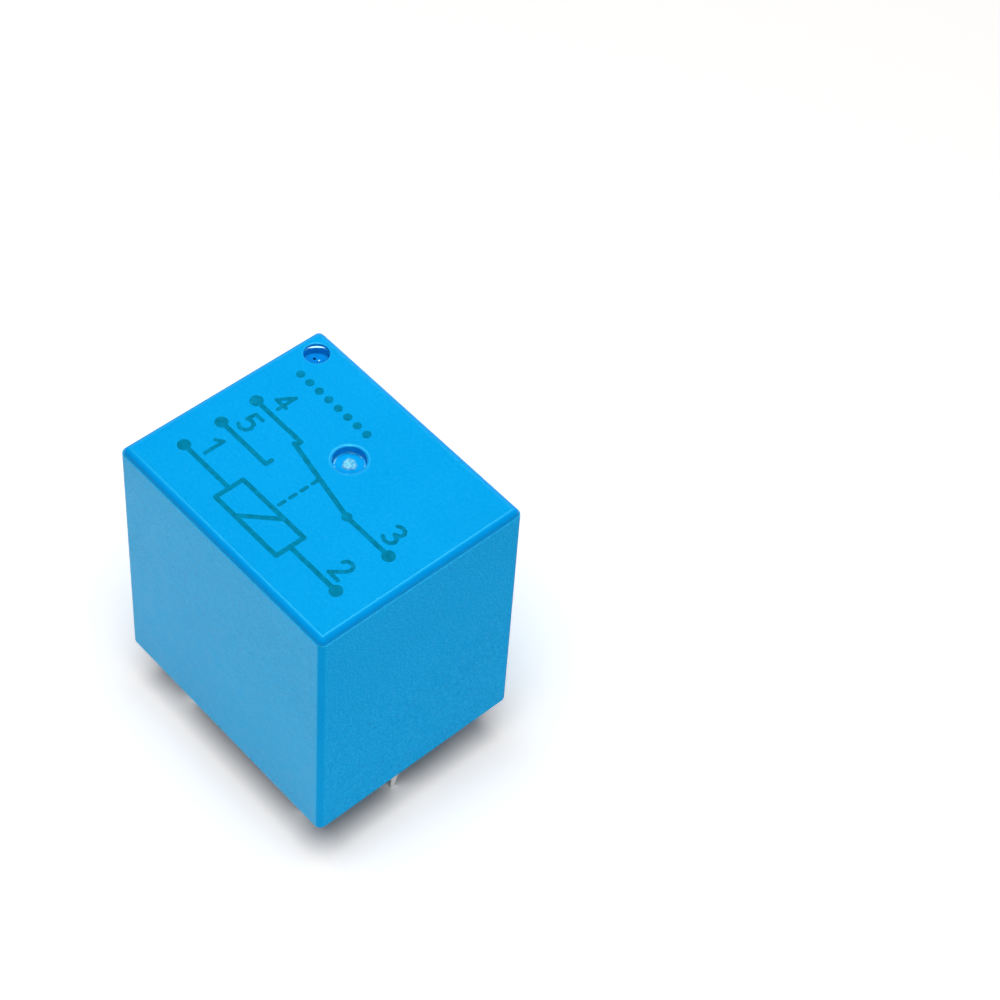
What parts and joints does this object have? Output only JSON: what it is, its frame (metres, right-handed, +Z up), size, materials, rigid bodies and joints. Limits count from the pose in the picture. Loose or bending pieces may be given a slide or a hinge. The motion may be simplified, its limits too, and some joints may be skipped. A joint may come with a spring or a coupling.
{
  "type": "pcb power relay",
  "caption": "Sealed changeover relay for a circuit board: blue moulded cover, black resin-sealed base, solder pins, and a coil with a hinged armature that moves the contact.",
  "frame": {"origin": "centre of the cover's rim plane, which sits on the board", "axes": "+Z up through the cover, +X towards the end with the single flat pin, pins point to -Z"},
  "size_m": [0.0204, 0.0166, 0.0251],
  "materials": {
    "cover_plastic": "blue moulded plastic, satin top and finely textured sides",
    "base_plastic": "black moulded plastic, matte",
    "sealing_resin": "black cast epoxy, glossy",
    "bobbin_plastic": "natural moulded nylon",
    "copper_wire": null,
    "magnet_iron": "plated soft iron, satin",
    "tinned_metal": "solder-dipped copper alloy",
    "spring_bronze": "rolled copper-alloy strip, satin",
    "contact_silver": "silver alloy, satin",
    "solder": "bright solder"
  },
  "bodies": {
    "relay_body": {"cover": "cover_plastic", "base": "base_plastic", "potting": "sealing_resin", "bobbin": "bobbin_plastic", "coil_winding": "copper_wire", "coil_lead_a": "copper_wire", "coil_lead_b": "copper_wire", "coil_joint_a": "solder", "coil_joint_b": "solder", "coil_terminal_a": "tinned_metal", "coil_terminal_b": "tinned_metal", "core": "magnet_iron", "yoke": "magnet_iron", "com_terminal": "tinned_metal", "no_terminal": "tinned_metal", "no_contact": "contact_silver", "nc_terminal": "tinned_metal", "nc_contact": "contact_silver"},
    "armature_unit": {"armature": "magnet_iron", "contact_spring": "spring_bronze", "moving_contact": "contact_silver"}
  },
  "joints": [
    {"name": "armature_hinge", "type": "hinge", "parent": "relay_body", "child": "armature_unit", "pos_m": [0.00755, 0, 0.01528], "axis": [0, -1, 0], "range_deg": [0, 2.52], "stiffness_Nm_per_rad": 0.002, "springref_deg": -11.46, "deforming": ["contact_spring"]}
  ]
}
